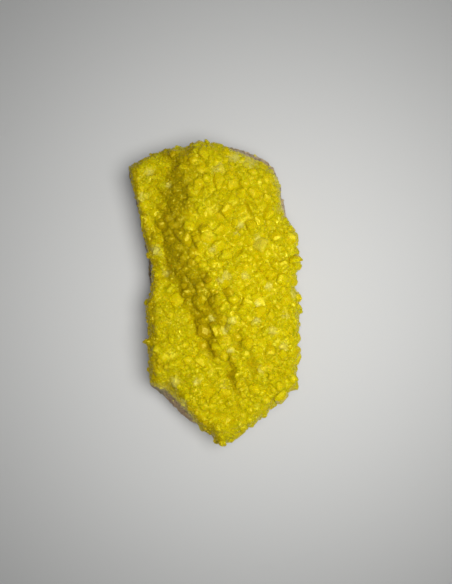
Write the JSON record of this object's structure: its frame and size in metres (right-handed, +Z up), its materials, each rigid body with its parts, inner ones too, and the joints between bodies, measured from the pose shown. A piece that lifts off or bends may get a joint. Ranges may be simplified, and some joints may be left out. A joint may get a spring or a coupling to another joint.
{
  "type": "native sulfur crystal specimen",
  "caption": "Mineral specimen: a druse of blunt yellow sulfur crystals on a broken slab of host rock that lies on a flat underside.",
  "frame": {"origin": "middle of the specimen's plan box, on the resting face", "axes": "+Z up through the druse, +Y along the slab from its pointed end to its broad end, +X to the side where the druse is widest from its trough"},
  "size_m": [0.1148, 0.1992, 0.0544],
  "materials": {
    "host_rock": "broken rock, matt and granular, pinkish brown to grey with yellow sulfur dust",
    "sulfur": "translucent yellow crystal with a resinous, slightly greasy gloss"
  },
  "bodies": {
    "root": {"host_rock": "host_rock", "sulfur_crust": "sulfur"}
  },
  "joints": []
}
